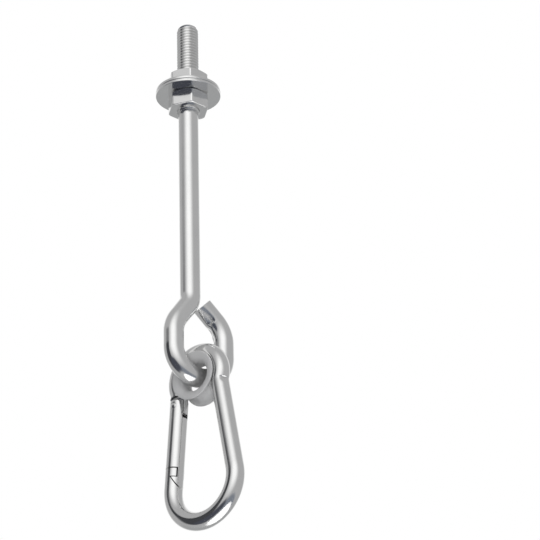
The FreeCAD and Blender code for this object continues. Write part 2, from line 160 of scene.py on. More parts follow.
def plastic(name, dark, light, rough):
    material, tree, shader, add = new_material(name)
    shader.inputs["Specular IOR Level"].default_value = 0.35
    tinted(tree, shader, add, dark, light, NYLON_CLOUDS)
    return grained(material, tree, shader, add, rough, NYLON_GRAIN, NYLON_GRAIN_HEIGHT, NYLON_PATCHES)


ZINC = metal("bright_zinc_plate", (0.77, 0.77, 0.765), (0.83, 0.83, 0.825), (0.10, 0.17), 0.000006)
STEEL = metal("plain_steel", (0.52, 0.52, 0.53), (0.58, 0.58, 0.59), (0.28, 0.38), 0.00001)
NYLON = plastic("moulded_nylon", (0.47, 0.47, 0.47), (0.55, 0.55, 0.55), (0.5, 0.62))
print("materials:", ZINC.name, STEEL.name, NYLON.name)

# %% [markdown]
# ## Pieces
# Every piece ends the same way: a mesh with outward faces, smooth where the metal is round and crisp at its
# edges, with a material, on its body. Auto smooth from the menu could do the edges. Setting them in code by
# the angle between faces gives the same result on each run.

# %% Pieces
# In metres: points this near become one, and edges this short are dropped
SAME_POINT = 0.000002
TOO_SHORT = 0.000001


def new_piece(name, points, faces, sharp=35.0):
    """An object from points in millimetres, cleaned, with outward faces and crisp edges."""
    mesh = bpy.data.meshes.new(name)
    mesh.from_pydata([Vector(point) * MM for point in points], [], faces)
    shape = bmesh.new()
    shape.from_mesh(mesh)
    bmesh.ops.remove_doubles(shape, verts=shape.verts, dist=SAME_POINT)
    bmesh.ops.dissolve_degenerate(shape, edges=shape.edges, dist=TOO_SHORT)
    bmesh.ops.recalc_face_normals(shape, faces=shape.faces)
    shape.to_mesh(mesh)
    shape.free()
    mesh.shade_smooth()
    mesh.set_sharp_from_angle(angle=math.radians(sharp))
    piece = bpy.data.objects.new(name, mesh)
    bpy.context.scene.collection.objects.link(piece)
    return piece


def dress(piece, material, slot, body, *nodes):
    """Give a piece its material and its body, and let it stand for its CAD nodes; the slot is not used."""
    piece.data.materials.clear()
    piece.data.materials.append(material)
    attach(piece, body)
    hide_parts(*nodes)
    print(f"{piece.name}: {len(piece.data.polygons)} faces for {', '.join(nodes)} on {body}")


print("pieces to stand for:", ", ".join(NODES))

# %% [markdown]
# ## Turned shapes
# Washers, bushing, rivet and gate are round about an axis, as if turned on a lathe. Blender's Spin or Screw
# could turn a profile. A short function that places rings of points needs no edit mode, and the same bridge
# between rings serves the bent wires and the nuts.


# %% Turned shapes
def bridge(rings):
    """Faces between neighbouring rings of the same number of points."""
    count = len(rings[0])
    faces = []
    for low, high in zip(rings, rings[1:]):
        for i in range(count):
            after = (i + 1) % count
            faces.append((low[i], low[after], high[after], high[i]))
    return faces


def lathe(name, profile, place, around, closed=True):
    """A profile of (radius, height) pairs turned about Z, then moved by a matrix."""
    points = []
    rings = []
    for radius, height in profile:
        rings.append(range(len(points), len(points) + around))
        for i in range(around):
            angle = 2 * math.pi * i / around
            points.append(place @ Vector((radius * math.cos(angle), radius * math.sin(angle), height)))
    faces = bridge(rings + rings[:1] if closed else rings)
    if not closed:
        faces += [tuple(rings[0]), tuple(rings[-1])]
    return new_piece(name, points, faces)


def arc(centre, radius, start, end, steps):
    """Points on an arc in the plane, from one angle in degrees to another."""
    angles = [math.radians(start + (end - start) * i / steps) for i in range(steps + 1)]
    return [(centre[0] + radius * math.cos(a), centre[1] + radius * math.sin(a)) for a in angles]


print("a quarter arc in 5 steps has", len(arc((0.0, 0.0), 1.0, 0.0, 90.0, 5)), "points")

# %% [markdown]
# ## Bent path
# The eye and the snap hook are bent from round wire: straight runs and bends in one plane. A Bezier curve
# could follow them roughly. A chain of runs and bends is what the bender's drawing gives, so the sizes stay
# the real ones. Each stop on the path keeps its distance along the wire, its place and its heading.

# %% Bent path
# From one stop to the next: in millimetres on a run, in degrees on a bend
RUN_STEP = 1.0
BEND_STEP = 3.0


def run_stops(place, turn, length, size):
    """Stops along a straight run that starts after some length of wire."""
    count = max(1, round(size / RUN_STEP))
    forward = Vector((math.cos(turn), math.sin(turn)))
    shares = [size * i / count for i in range(1, count + 1)]
    return [(length + share, place + forward * share, turn) for share in shares]


def bend_stops(place, turn, length, side, radius, angle):
    """Stops along a bend: side is 1 for a turn to the left and -1 for one to the right."""
    count = max(2, round(angle / BEND_STEP))
    centre = place + Vector((-math.sin(turn), math.cos(turn))) * side * radius
    stops = []
    for i in range(1, count + 1):
        now = turn + side * math.radians(angle) * i / count
        out = Vector((math.sin(now), -math.cos(now))) * side * radius
        stops.append((length + radius * math.radians(angle) * i / count, centre + out, now))
    return stops


def bent_path(start, heading, steps):
    """Stops (distance, place, heading) along runs and bends; left bends turn against the clock."""
    stops = [(0.0, Vector(start), math.radians(heading))]
    for kind, *sizes in steps:
        length, place, turn = stops[-1]
        if kind == "run":
            stops += run_stops(place, turn, length, *sizes)
        else:
            stops += bend_stops(place, turn, length, 1 if kind == "left" else -1, *sizes)
    return stops


print("a right angle of 10 mm radius has", len(bent_path((0.0, 0.0), 0.0, [("left", 10.0, 90.0)])), "stops")

# %% [markdown]
# ## Wire with tool marks
# The wire's surface is a ring of points at every stop. Where the bending tool gripped it, the plate shows a
# dent. Dents could be sculpted afterwards. Here a mark is a few sizes that press the points near it inwards,
# so each can be moved or deepened by one number. A wedge starts at its deepest and runs out along the wire,
# and the other marks are shallow bowls.

# %% Wire with tool marks
AROUND = 72


def tool_mark(at, side, length, width, depth, wedge=False):
    """A mark at a distance along the wire and an angle round it; length and width reach to each side."""
    return {"at": at, "side": side, "length": length, "width": width, "depth": depth, "wedge": wedge}


def pressed(distance, angle, marks):
    """How far the bending tool pressed the wire in at a distance along it and an angle round it."""
    depth = 0.0
    for mark in marks:
        along = (distance - mark["at"]) / mark["length"]
        across = math.remainder(angle - math.radians(mark["side"]), 2 * math.pi) / math.radians(mark["width"])
        reach = along * along + across * across
        if mark["wedge"] and max(abs(along), abs(across)) < 1:
            depth += mark["depth"] * (1 - along) / 2 * (1 - across * across) ** 2
        elif reach < 1 and not mark["wedge"]:
            depth += mark["depth"] * (1 - reach) ** 2
    return depth


def wire_surface(stops, radius, to_space, normal, marks, end_chamfer):
    """Points and rings of a round wire; to_space lifts a place on the path into the frame."""
    total, tip, turn = stops[-1]
    forward = Vector((math.cos(turn), math.sin(turn)))
    trimmed = [(*stop, radius) for stop in stops if stop[0] < total - end_chamfer]
    shoulder = (total - end_chamfer, tip - forward * end_chamfer, turn, radius)
    points = []
    rings = []
    for distance, place, turn, size in trimmed + [shoulder, (total, tip, turn, radius - end_chamfer)]:
        centre = to_space(place)
        side = to_space(place + Vector((-math.sin(turn), math.cos(turn)))) - centre
        rings.append(range(len(points), len(points) + AROUND))
        for i in range(AROUND):
            angle = 2 * math.pi * i / AROUND
            reach = size - pressed(distance, angle, marks)
            points.append(centre + (side * math.cos(angle) + normal * math.sin(angle)) * reach)
    return points, rings


print("points round a wire:", AROUND)

# %% [markdown]
# ## Thread
# The stud has a rolled metric thread. A bump texture could draw it, but the outline would stay smooth, and a
# Screw modifier wouldn't let it run out into the shank. So the turns are one helical ribbon with a crest, a
# flank, a root and a flank in each turn. It fades into the shank below the lower nut, and the stud's end is
# rounded over.

# %% Thread
THREAD_RADIUS = 4.98
ROOT_RADIUS = 4.08
PITCH = 1.5
THREAD_END = -10.6
STUD_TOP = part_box("eye_bolt")[1].z / MM
STUD_SHOULDER = 2.2
STUD_ROUND = 3.3
SHANK_RADIUS = 4.65
EYE_TURN = math.radians(-19.0)

# Where crest and root begin and end, in shares of the pitch
THREAD_SHAPE = [(0.0, THREAD_RADIUS), (0.17, THREAD_RADIUS), (0.46, ROOT_RADIUS), (0.70, ROOT_RADIUS)]


def thread_point(turned, height, radius):
    """A point of the ribbon, faded into the shank at its foot and kept under the stud's round shoulder."""
    fade = min(1.0, max(0.0, (height - THREAD_END) / PITCH))
    height = min(max(height, THREAD_END), STUD_TOP)
    radius = SHANK_RADIUS + (radius - SHANK_RADIUS) * fade
    below = min(1.0, (STUD_TOP - height) / STUD_ROUND)
    shoulder = STUD_SHOULDER * (1 - math.sqrt(1 - (1 - below) ** 2))
    radius = min(radius, THREAD_RADIUS - shoulder)
    return Vector((radius * math.cos(turned), radius * math.sin(turned), height))


def thread_surface():
    """Points and faces of the rolled thread from its run-out to the stud's end."""
    turns = math.ceil((STUD_TOP - THREAD_END) / PITCH) + 2
    points = []
    for k in range(turns * AROUND + 1):
        turned = 2 * math.pi * k / AROUND + EYE_TURN
        for share, radius in THREAD_SHAPE:
            points.append(thread_point(turned, THREAD_END + PITCH * (k / AROUND + share - 1), radius))
    count = len(THREAD_SHAPE)
    faces = []
    for k in range((turns - 1) * AROUND):
        here = [k * count + j for j in range(count)] + [(k + AROUND) * count]
        there = [i + count for i in here]
        for j in range(count):
            faces.append((here[j], there[j], there[j + 1], here[j + 1]))
    return points, faces


thread = thread_surface()
print("thread faces:", len(thread[1]), "stud top at", round(STUD_TOP, 2), "mm")

# %% [markdown]
# ## Bent eye
# Below the thread the rod is plain, and its end is bent into an open eye. The bends could be traced from the
# CAD node. They are written in the order of bending instead, one after the other, and the straight shank
# takes up what is left between the thread's end and the eye's lowest point.

# %% Bent eye
EYE_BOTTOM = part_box("eye_bolt")[0].z / MM + SHANK_RADIUS
SHOULDER_RADIUS = 10.0
SHOULDER_ANGLE = 34.5
SHOULDER_RUN = 8.0
CROWN_RADIUS = 14.4
SIDE_RUN = 7.0
BOTTOM_RADIUS = 13.0
RETURN_ANGLE = 46.8
TIP_RUN = 9.0

EYE_RISE = SHOULDER_RUN * math.cos(math.radians(SHOULDER_ANGLE))
EYE_RISE += (SHOULDER_RADIUS + CROWN_RADIUS) * math.sin(math.radians(SHOULDER_ANGLE))
SHANK_RUN = THREAD_END - EYE_BOTTOM - EYE_RISE - SIDE_RUN - BOTTOM_RADIUS
EYE_STEPS = [
    ("run", SHANK_RUN),
    ("right", SHOULDER_RADIUS, SHOULDER_ANGLE),
    ("run", SHOULDER_RUN),
    ("left", CROWN_RADIUS, SHOULDER_ANGLE),
    ("run", SIDE_RUN),
    ("left", BOTTOM_RADIUS, 180.0),
    ("run", SIDE_RUN),
    ("left", CROWN_RADIUS, RETURN_ANGLE),
    ("run", TIP_RUN),
]
eye_stops = bent_path((0.0, THREAD_END), -90.0, EYE_STEPS)
print("rod below the thread:", round(eye_stops[-1][0], 1), "mm long")

# %% [markdown]
# ## Eye bolt
# The free end of the eye is cut off square. A curve with a round bevel would make a flawless tube. A real eye
# shows flats and a bright streak where the tool held it, so the wire is built with its marks, and thread,
# wire and end face become one mesh.

# %% Eye bolt
CUT_EDGE = 0.15


def to_eye_plane(place):
    return Vector((place.x * math.cos(EYE_TURN), place.x * math.sin(EYE_TURN), place.y))


def eye_marks(total):
    """The marks near the free end, counted back from the wire's whole length, and one at the shoulder."""
    return [
        tool_mark(at=total - 4.5, side=32.0, length=4.3, width=37.0, depth=1.1, wedge=True),
        tool_mark(at=total - 12.5, side=-28.0, length=4.5, width=34.0, depth=0.9),
        tool_mark(at=total - 17.5, side=-20.0, length=4.0, width=30.0, depth=0.6),
        tool_mark(at=SHANK_RUN + 12.0, side=0.0, length=1.2, width=30.0, depth=0.35),
    ]


def make_eye_bolt(thread_points, thread_faces):
    normal = Vector((math.sin(EYE_TURN), -math.cos(EYE_TURN), 0.0))
    marks = eye_marks(eye_stops[-1][0])
    wire, rings = wire_surface(eye_stops, SHANK_RADIUS, to_eye_plane, normal, marks, CUT_EDGE)
    shift = len(thread_points)
    rings = [[i + shift for i in ring] for ring in rings]
    top = shift + len(wire)
    end_face = []
    for i in range(AROUND):
        turned = 2 * math.pi * i / AROUND + EYE_TURN
        radius = THREAD_RADIUS - STUD_SHOULDER
        end_face.append(Vector((radius * math.cos(turned), radius * math.sin(turned), STUD_TOP)))
    faces = thread_faces + bridge(rings) + [tuple(rings[-1]), tuple(range(top, top + AROUND))]
    return new_piece("threaded_eye_bolt", thread_points + wire + end_face, faces)


dress(make_eye_bolt(*thread), ZINC, "zinc_steel", "bolt", "eye_bolt")

# %% [markdown]
# ## Nuts
# Two hexagon nuts clamp the washers. A six-sided cylinder with a bevel would have straight edges, but a real
# nut's corners are turned off by a cone, so every side ends in an arc. The section is therefore worked out
# angle by angle: out to the hexagon's side, less that cone. The lower nut's foot is cut at its corners alone.

# %% Nuts
NUT_FLATS = 17.0
NUT_HEIGHT = 8.0
NUT_FACE = 8.0
NUT_FLAT_FOOT = 9.0
NUT_MOUTH = 5.5
NUT_BORE = 5.05
NUT_EDGE = 0.12
NUT_FALL = math.tan(math.radians(30.0))
HALF_SIDE = math.radians(30.0)
CORNER_CUT = 0.15
NUT_CORNER = NUT_FLATS / 2 / math.cos(HALF_SIDE) - CORNER_CUT
NUT_AROUND = 144
UPPER_NUT_TURN = 48.0
LOWER_NUT_TURN = 50.5


def nut_end(side, face):
    """One end of a nut's section as (radius, depth) pairs, from the bore to a side this far out."""
    face = min(face, side - 3 * NUT_EDGE)
    chamfer = (side - face) * NUT_FALL
    return [
        (NUT_BORE, NUT_MOUTH - NUT_BORE),
        (NUT_MOUTH, 0.0),
        (face - NUT_EDGE, 0.0),
        (face + NUT_EDGE, NUT_EDGE * NUT_FALL),
        (side - NUT_EDGE, chamfer - NUT_EDGE * NUT_FALL),
        (side, chamfer + NUT_EDGE),
    ]


def make_nut(name, node, turn, foot_face):
    """A hexagon nut in the place of its CAD node, turned about Z by some degrees."""
    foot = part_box(node)[0].z / MM
    points = []
    for i in range(NUT_AROUND):
        angle = 2 * math.pi * i / NUT_AROUND
        across = math.remainder(angle - HALF_SIDE, 2 * HALF_SIDE)
        side = min(NUT_FLATS / 2 / math.cos(across), NUT_CORNER)
        top_end = [(radius, NUT_HEIGHT - depth) for radius, depth in nut_end(side, NUT_FACE)]
        section = nut_end(side, foot_face) + top_end[::-1]
        direction = angle + math.radians(turn)
        for radius, height in section:
            points.append(Vector((radius * math.cos(direction), radius * math.sin(direction), foot + height)))
    rows = len(section)
    rings = [range(row, len(points), rows) for row in range(rows)]
    return new_piece(name, points, bridge(rings + rings[:1]), sharp=22.0)


upper_nut = make_nut("hex_nut_upper", "upper_nut", UPPER_NUT_TURN, NUT_FACE)
dress(upper_nut, ZINC, "zinc_steel", "upper_nut", "upper_nut")
lower_nut = make_nut("hex_nut_lower", "lower_nut", LOWER_NUT_TURN, NUT_FLAT_FOOT)
dress(lower_nut, ZINC, "zinc_steel", "bolt", "lower_nut")

# %% [markdown]
# ## Washers
# The two large washers are punched from sheet: the upper edge of each is drawn in a little, and the lower
# one is nearly sharp. A bevel modifier would round both edges alike, so the section is drawn with its own
# edges and turned.

# %% Washers
WASHER_RADIUS = 15.0
WASHER_HOLE = 5.3
WASHER_THICKNESS = 1.5
WASHER_DRAW = 0.45
WASHER_EDGE = 0.12


def make_washer(name, node):
    """A punched washer in the place of its CAD node."""
    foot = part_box(node)[0].z / MM
    top = foot + WASHER_THICKNESS
    inner = WASHER_HOLE + WASHER_EDGE
    profile = [(inner, foot), (WASHER_RADIUS - WASHER_EDGE, foot), (WASHER_RADIUS, foot + WASHER_EDGE)]
    profile += arc((WASHER_RADIUS - WASHER_DRAW, top - WASHER_DRAW), WASHER_DRAW, 0.0, 90.0, 5)
    profile += [(inner, top), (WASHER_HOLE, top - WASHER_EDGE), (WASHER_HOLE, foot + WASHER_EDGE)]
    return lathe(name, profile, Matrix.Identity(4), around=160)


dress(make_washer("washer_upper", "upper_washer"), ZINC, "zinc_steel", "upper_washer", "upper_washer")
dress(make_washer("washer_lower", "lower_washer"), ZINC, "zinc_steel", "bolt", "lower_washer")

# %% [markdown]
# ## Bushing
# The bushing is moulded nylon and rolls on the eye's wire. It has a bell-mouthed bore, two thin rims and a
# round groove that the snap hook's wire lies in. Cylinders and a torus joined by booleans could make it.
# Half a section, mirrored and turned about the axis, gives cleaner faces.

# %% Bushing
BUSHING_RADIUS = 11.5
BUSHING_BORE = 6.6
BUSHING_END = 5.2
BUSHING_MOUTH = 4.0
BUSHING_RIM = 0.35
GROOVE_RADIUS = 4.45
TOP_ARC = 12.4
ACROSS_X = Matrix.Rotation(math.radians(90.0), 4, "Y")


def make_bushing():
    mouth = (BUSHING_BORE + BUSHING_MOUTH, BUSHING_END - BUSHING_MOUTH)
    rim = (BUSHING_RADIUS - BUSHING_RIM, BUSHING_END - BUSHING_RIM)
    groove_edge = math.degrees(math.acos((BUSHING_RADIUS - TOP_ARC) / GROOVE_RADIUS))
    half = arc(mouth, BUSHING_MOUTH, 180.0, 90.0, 14)
    half += arc(rim, BUSHING_RIM, 90.0, 0.0, 4)
    half += arc((TOP_ARC, 0.0), GROOVE_RADIUS, groove_edge, 180.0, 16)
    profile = half + [(radius, -height) for radius, height in reversed(half[:-1])]
    return lathe("grooved_bushing", profile, Matrix.Translation(AXIS) @ ACROSS_X, around=144)


dress(make_bushing(), NYLON, "grey_nylon", "bushing", "nylon_bushing")

# %% [markdown]
# ## Snap hook layout
# The hook's wire starts at the tongue that the gate turns on, passes over the bushing and down the back,
# goes round the bottom and ends at the claw. Its outline could be traced. It is laid out from radii and
# drops instead, and the neck's angle and the leg's ends follow from those. The gate and the claw are drawn
# about the gate's pivot with the leg upright, because then every cut is straight.

# %% Snap hook layout
WIRE_RADIUS = 4.15
NECK_RADIUS = 5.4
LEG_SPLAY = 7.5
HANG_LEAN = -2.3
BEND_RADIUS = 17.65
BEND_DROP = 52.0
NOSE_RUN = 9.6
PIVOT_DROP = 12.0

SPLAY = math.radians(LEG_SPLAY)
LEG_OFFSET = BEND_RADIUS - BEND_DROP * math.sin(SPLAY)
LEG_END = BEND_DROP * math.cos(SPLAY)
NECK_REACH = TOP_ARC + NECK_RADIUS
NECK_ANGLE = math.degrees(math.acos((LEG_OFFSET + NECK_RADIUS) / NECK_REACH))
NECK_END = NECK_REACH * math.sin(math.radians(NECK_ANGLE))

LEAN = Matrix.Rotation(math.radians(HANG_LEAN), 4, "X")
IN_LEG = Matrix.Translation(PIVOT) @ Matrix.Rotation(math.radians(LEG_SPLAY + HANG_LEAN), 4, "X")
print("neck angle", round(NECK_ANGLE, 1), "leg from", round(NECK_END, 1), "to", round(LEG_END, 1), "mm")

# %% [markdown]
# ## Cutting tools
# The tongue, the fork and the claw are cut into round bar. Their edges could be modelled face by face. A
# boolean with a straight-sided tool cuts them as a machine does, and the exact solver keeps the edges crisp.
# The tools are removed once they have cut.

# %% Cutting tools
WIDE = 2 * WIRE_RADIUS
CRISP_CUT = math.radians(30.0)


def prism(name, outline, low, high):
    """A straight-sided solid about the gate's pivot: an outline of (outward, up) pairs between two x."""
    count = len(outline)
    points = [IN_LEG @ Vector((x, out, up)) for x in (low, high) for out, up in outline]
    rings = [range(count), range(count, 2 * count)]
    return new_piece(name, points, bridge(rings) + [tuple(rings[0]), tuple(rings[1])])


def cylinder(name, radius, low, high, along_x=False):
    """A cylinder about the pivot, along the leg or along X."""
    place = IN_LEG @ ACROSS_X if along_x else IN_LEG
    return lathe(name, [(radius, low), (radius, high)], place, AROUND, closed=False)


def carved(piece, cuts):
    """Cut solids out of a piece and tidy its shading."""
    for tool in cuts:
        modifier = piece.modifiers.new(tool.name, "BOOLEAN")
        modifier.operation = "DIFFERENCE"
        modifier.object = tool
        modifier.solver = "EXACT"
    view = bpy.context.evaluated_depsgraph_get()
    mesh = bpy.data.meshes.new_from_object(piece.evaluated_get(view))
    piece.modifiers.clear()
    piece.data = mesh
    for tool in cuts:
        bpy.data.objects.remove(tool)
    mesh.shade_smooth()
    mesh.set_sharp_from_angle(angle=CRISP_CUT)
    return piece


print("tools reach", round(WIDE, 1), "mm each way")

# %% [markdown]
# ## Hook wire
# The body starts as one bent wire, with a dent where the neck was pinched shut over the bushing. It could be
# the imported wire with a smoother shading. Built from the same runs and bends, it is finer than the facets of
# the pack, and the dent can be pressed into it.

# %% Hook wire
TONGUE_FOOT = 3.5
TOP_RUN = PIVOT_DROP + TONGUE_FOOT - NECK_END
TOP_ANGLE = 180.0 + 2 * (NECK_ANGLE - LEG_SPLAY)
HOOK_STEPS = [
    ("run", TOP_RUN),
    ("right", NECK_RADIUS, NECK_ANGLE),
    ("left", TOP_ARC, TOP_ANGLE),
    ("right", NECK_RADIUS, NECK_ANGLE),
    ("run", LEG_END - NECK_END),
    ("left", BEND_RADIUS, 180.0 + 2 * LEG_SPLAY),
    ("run", NOSE_RUN),
]


def to_hook_plane(place):
    return AXIS + LEAN @ Vector((0.0, place.x, place.y))


def hook_wire():
    """The whole bent wire, before the tongue and the claw are cut."""
    level = Vector((LEG_OFFSET * math.cos(SPLAY), LEG_OFFSET * math.sin(SPLAY)))
    down_leg = Vector((math.sin(SPLAY), -math.cos(SPLAY)))
    stops = bent_path(level + down_leg * (PIVOT_DROP + TONGUE_FOOT), 90.0 + LEG_SPLAY, HOOK_STEPS)
    arc_end = TOP_RUN + NECK_RADIUS * math.radians(NECK_ANGLE) + TOP_ARC * math.radians(TOP_ANGLE)
    dent = tool_mark(at=arc_end + 2.4, side=203.0, length=2.0, width=46.0, depth=0.6)
    points, rings = wire_surface(stops, WIRE_RADIUS, to_hook_plane, Vector((1.0, 0.0, 0.0)), [dent], CUT_EDGE)
    return new_piece("snap_hook_body", points, bridge(rings) + [tuple(rings[0]), tuple(rings[-1])])


hook_body = hook_wire()
print("hook wire:", len(hook_body.data.polygons), "faces")

# %% [markdown]
# ## Tongue and claw
# The wire's start is cut to a flat tongue that the gate turns on, and its end to a claw that locks the gate.
# The claw could be a separate small mesh. Cutting it out of the wire keeps the polished surface running
# through, as on the real hook.

# %% Tongue and claw
TONGUE_HALF = 1.5
SEAT_HEIGHT = 4.3
SEAT_SLOPE = math.tan(math.radians(10.0))
PIN_RADIUS = 1.5
CLAW_SLOPE = math.tan(math.radians(57.5))
CLAW_ROOT = 0.64
CLAW_HEIGHT = 3.9
CLAW_WALL = 0.55
CLAW_GAP = 0.4
CLAW_TOP = LEG_END - PIVOT_DROP - NOSE_RUN
CLAW_FOOT = CLAW_TOP + CLAW_HEIGHT
CLAW_DROP = CLAW_FOOT - CLAW_ROOT * CLAW_SLOPE
CLAW_REACH = WIRE_RADIUS - CLAW_WALL - CLAW_GAP


def cut_tongue_and_claw(body):
    fall = WIDE * SEAT_SLOPE
    foot = -TONGUE_FOOT - WIDE
    cheek = [(-WIDE, foot), (WIDE, foot), (WIDE, SEAT_HEIGHT - fall), (-WIDE, SEAT_HEIGHT + fall)]
    notch = [
        (-CLAW_REACH, WIRE_RADIUS - CLAW_TOP),
        (-CLAW_REACH, -CLAW_FOOT),
        (-CLAW_ROOT, -CLAW_FOOT),
        (-WIDE, -CLAW_DROP - CLAW_SLOPE * WIDE),
        (-WIDE, WIRE_RADIUS - CLAW_TOP),
    ]
    cuts = [
        prism("near_cheek", cheek, -WIDE, -TONGUE_HALF),
        prism("far_cheek", cheek, TONGUE_HALF, WIDE),
        prism("claw_notch", notch, -WIDE, WIDE),
        cylinder("tongue_hole", PIN_RADIUS, -WIDE, WIDE, along_x=True),
    ]
    return carved(body, cuts)


dress(cut_tongue_and_claw(hook_body), ZINC, "zinc_steel", "carabiner", "carabiner_body")

# %% [markdown]
# ## Gate
# The gate is a round bar, forked over the tongue, bored for its spring and notched to take the claw. The
# notch could be drawn by itself. It is the claw's own outline moved out by the gap between them, so the two
# always fit.

# %% Gate
SLOT_HALF = 1.8
SLOT_DEPTH = 5.6
GATE_END = 2.9
GATE_EDGE = 0.6
BORE_RADIUS = 2.2
BORE_FLOOR = 5.9


def claw_recess():
    """The claw's outline, moved out by the gap that the gate leaves round it."""
    lift = CLAW_GAP * math.hypot(1.0, CLAW_SLOPE)
    side = -CLAW_REACH - CLAW_GAP
    under = -CLAW_FOOT - CLAW_GAP
    bottom = lift - CLAW_DROP - CLAW_SLOPE * WIDE
    return [
        (WIDE, CLAW_GAP - CLAW_TOP),
        (side, CLAW_GAP - CLAW_TOP),
        (side, under),
        ((CLAW_DROP - CLAW_FOOT - CLAW_GAP - lift) / CLAW_SLOPE, under),
        (-WIDE, bottom),
        (WIDE, bottom),
    ]


def make_gate():
    tip = -CLAW_DROP - WIRE_RADIUS * CLAW_SLOPE
    end = arc((WIRE_RADIUS - GATE_EDGE, GATE_END - GATE_EDGE), GATE_EDGE, 0.0, 90.0, 6)
    bar = lathe("snap_hook_gate", [(WIRE_RADIUS, tip)] + end, IN_LEG, AROUND, closed=False)
    slot = [(-WIDE, -SLOT_DEPTH), (WIDE, -SLOT_DEPTH), (WIDE, WIDE), (-WIDE, WIDE)]
    cuts = [
        prism("gate_slot", slot, -SLOT_HALF, SLOT_HALF),
        prism("claw_recess", claw_recess(), -WIDE, WIDE),
        cylinder("spring_bore", BORE_RADIUS, CLAW_GAP + BORE_FLOOR - CLAW_TOP, WIDE),
        cylinder("rivet_hole", PIN_RADIUS, -WIDE, WIDE, along_x=True),
    ]
    return carved(bar, cuts)


dress(make_gate(), ZINC, "zinc_steel", "gate", "carabiner_gate")

# %% [markdown]
# ## Rivet
# A rivet through fork and tongue is the gate's hinge. A plain cylinder would do inside the gate, but its
# heads show, so the profile ends in two low domes.

# %% Rivet
PIN_RISE = 0.2
HEAD_HEIGHT = 0.5
# In radians, from the dome's rim up
HEAD_ANGLES = (0.0, 0.4, 0.8, 1.2)


def make_rivet():
    base = WIRE_RADIUS + PIN_RISE - HEAD_HEIGHT
    dome = [(PIN_RADIUS * math.cos(a), base + HEAD_HEIGHT * math.sin(a)) for a in HEAD_ANGLES]
    profile = [(radius, -height) for radius, height in reversed(dome)] + dome
    return lathe("gate_rivet", profile, IN_LEG @ ACROSS_X, around=48, closed=False)


dress(make_rivet(), ZINC, "zinc_steel", "gate", "gate_pivot_pin")

# %% [markdown]
# ## Spring and plunger
# A coil spring in the gate's bore presses a small plunger against the tongue and closes the gate. The packed
# coil is fine enough to stay, but it has to shorten while the gate opens, and a CAD node never changes. So a
# copy of its mesh stands for it, though nothing here shortens it. The plunger keeps its CAD node.


# %% Spring and plunger
def make_spring():
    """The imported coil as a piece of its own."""
    node = NODES["gate_spring"]
    spring = bpy.data.objects.new("gate_coil", node.data.copy())
    bpy.context.scene.collection.objects.link(spring)
    spring.matrix_world = node.matrix_world.copy()
    return spring


def shorten(spring):
    """Give the coil a fresh copy of its mesh; it is not shortened here."""
    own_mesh(spring)


coil = make_spring()
dress(coil, STEEL, "bare_steel", "gate", "gate_spring")
shorten(coil)
NODES["gate_plunger"].data.materials.clear()
NODES["gate_plunger"].data.materials.append(STEEL)

# %% [markdown]
# ## Camera
# The photograph looks up at the hook through a long lens. The camera could be moved until it looks right. Its
# angles, place and focal length were fitted instead to points on the thread, nuts and washers, which have
# standard sizes. The picture's width in pixels turns the focal length into millimetres.

# %% Camera
FRAME_PIXELS = 540
FOCAL_PIXELS = 3432.0
SENSOR_WIDTH = 36.0
CAMERA_AZIMUTH = math.radians(-51.66)
CAMERA_ELEVATION = math.radians(-28.415)
CAMERA_ROLL = math.radians(-1.334)
CAMERA_DISTANCE = 1.5
CAMERA_AIM = Vector((-0.0139, -0.0571, -0.1190))

RIGHT = Vector((math.cos(CAMERA_AZIMUTH), math.sin(CAMERA_AZIMUTH), 0.0))
TOWARDS = Vector((math.sin(CAMERA_AZIMUTH), -math.cos(CAMERA_AZIMUTH), 0.0))
UP = Vector((0.0, 0.0, 1.0))
BACK = TOWARDS * math.cos(CAMERA_ELEVATION) + UP * math.sin(CAMERA_ELEVATION)


def make_camera():
    data = bpy.data.cameras.new("camera")
    data.sensor_width = SENSOR_WIDTH
    data.lens = FOCAL_PIXELS / FRAME_PIXELS * data.sensor_width
    data.clip_end = 50.0
    camera = bpy.data.objects.new("camera", data)
    bpy.context.scene.collection.objects.link(camera)
    level = BACK.cross(RIGHT)
    across = RIGHT * math.cos(CAMERA_ROLL) + level * math.sin(CAMERA_ROLL)
    upright = level * math.cos(CAMERA_ROLL) - RIGHT * math.sin(CAMERA_ROLL)
    turn = Matrix((across, upright, BACK)).transposed()
    camera.matrix_world = Matrix.Translation(CAMERA_AIM + BACK * CAMERA_DISTANCE) @ turn.to_4x4()
    bpy.context.scene.camera = camera


make_camera()
print("camera lens", round(bpy.context.scene.camera.data.lens, 1), "mm")

# %% [markdown]
# ## Floor
# The hook hangs high, so the floor lies well below it and out of the camera's view. It takes the shadow, and
# the bends mirror it as a sharp bright patch. A wide floor would fill the lower half of every reflection, so
# it is a pale disc, as wide as that patch asks for.

# %% Floor
FLOOR_MIDDLE = TOWARDS * 0.03 + RIGHT * 0.24 - UP
FLOOR_RADIUS = 0.58
FLOOR_AROUND = 160
FLOOR_SHADE = (0.9, 0.9, 0.9, 1.0)
FLOOR_ROUGH = (0.7, 0.85)
FLOOR_GRAIN = 0.004
FLOOR_GRAIN_HEIGHT = 0.0001
FLOOR_PATCHES = 0.5


